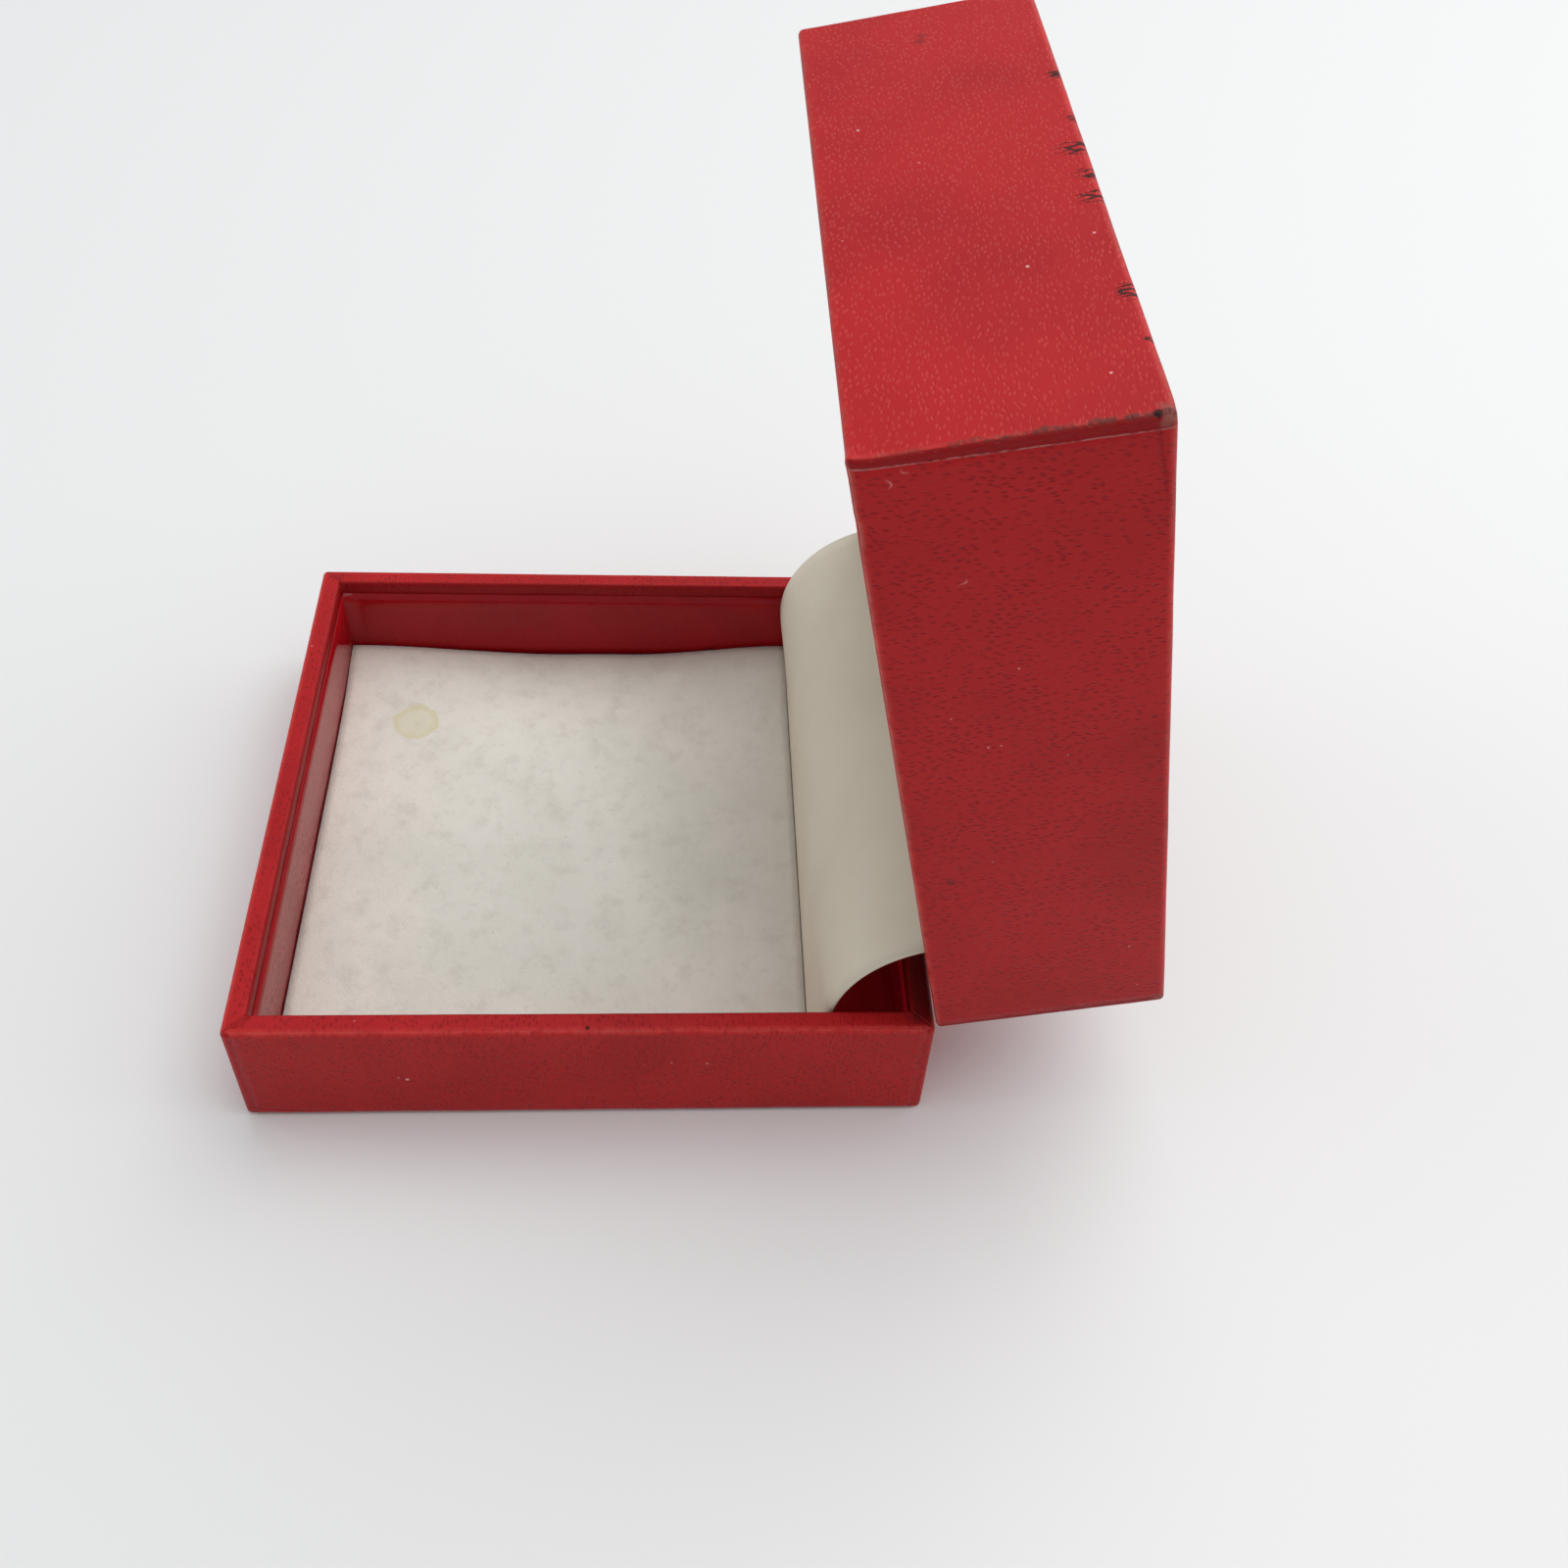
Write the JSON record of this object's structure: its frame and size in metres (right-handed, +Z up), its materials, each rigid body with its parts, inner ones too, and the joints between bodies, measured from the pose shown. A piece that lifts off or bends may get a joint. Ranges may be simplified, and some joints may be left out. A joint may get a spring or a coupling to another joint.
{
  "type": "ring box",
  "caption": "Square hinged box in red embossed leathercloth, shown open, with a felt pad, a curved card hood over the hinge and a steel snap hinge.",
  "frame": {"origin": "centre of the tray's underside, on the surface that the box stands on", "axes": "+Z up; -Y towards the opening side, away from the hinge; X along the hinge"},
  "size_m": [0.067, 0.0894, 0.0857],
  "materials": {
    "leathercloth": "red embossed leathercloth, satin, worn pale at the edges and corners",
    "lining_paper": "deep crimson calendered lining paper, glossy at low angles",
    "base_paper": "matt dark red paper",
    "greyboard": "raw grey pulp board",
    "pad_card": "plain card, matt",
    "pad_felt": "off-white pressed felt, mottled, with an old pale yellow stain",
    "pad_satin": "cream satin, soft sheen",
    "hood_card": "smooth cream card, matt",
    "hinge_steel": "plated sheet steel, slightly dulled",
    "spring_steel": "blued spring steel",
    "rivet_steel": "bright domed rivet heads"
  },
  "bodies": {
    "tray": {"tray_floor_board": "greyboard", "tray_front_wall": "greyboard", "tray_back_wall": "greyboard", "tray_left_wall": "greyboard", "tray_right_wall": "greyboard", "tray_wrap": "leathercloth", "tray_lining": "lining_paper", "tray_base_sheet": "base_paper", "tray_pad_card": "pad_card", "tray_pad_felt": "pad_felt", "hinge_hood": "hood_card", "hinge_tray_leaf": "hinge_steel", "hinge_pin": "hinge_steel", "hinge_snap_spring": "spring_steel", "tray_rivets": "rivet_steel"},
    "lid": {"lid_top_board": "greyboard", "lid_front_wall": "greyboard", "lid_back_wall": "greyboard", "lid_left_wall": "greyboard", "lid_right_wall": "greyboard", "lid_wrap": "leathercloth", "lid_lining": "lining_paper", "lid_pad_card": "pad_card", "lid_pad_satin": "pad_satin", "hinge_lid_leaf": "hinge_steel", "lid_rivets": "rivet_steel"}
  },
  "joints": [
    {"name": "lid_hinge", "type": "hinge", "parent": "tray", "child": "lid", "pos_m": [0, 0.034, 0.0146], "axis": [1, 0, 0], "range_deg": [0, 78]}
  ]
}
